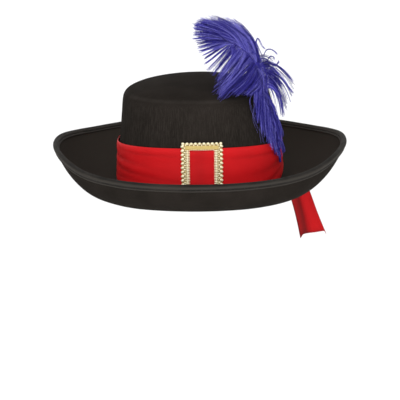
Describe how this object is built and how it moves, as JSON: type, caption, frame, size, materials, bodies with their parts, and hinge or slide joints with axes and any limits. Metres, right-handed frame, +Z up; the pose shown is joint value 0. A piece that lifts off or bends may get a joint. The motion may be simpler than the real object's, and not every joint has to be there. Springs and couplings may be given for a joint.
{
  "type": "feathered felt hat",
  "caption": "Child's black felt dress-up hat with a rolled brim, a red ribbon band with a hanging end, a gold braid buckle and a curled blue-violet plume.",
  "frame": {"origin": "middle of the head opening, level with the side folds where the crown turns into the brim", "axes": "+Z up through the crown, -Y towards the front of the hat, +X towards the wearer's left, where the plume is"},
  "size_m": [0.2766, 0.3004, 0.2526],
  "materials": {
    "felt": "pressed wool felt, matt black",
    "tape": "woven binding tape, dark grey",
    "ribbon": "soft red satin with a dull sheen",
    "braid": "gimp braid of gold metallised thread",
    "plume": "dyed ostrich barbs, soft and slightly glossy"
  },
  "bodies": {
    "root": {"crown_and_brim": "felt", "edge_binding": "tape", "hat_band": "ribbon", "band_tail": "ribbon", "buckle": "braid", "feather": "plume"}
  },
  "joints": []
}
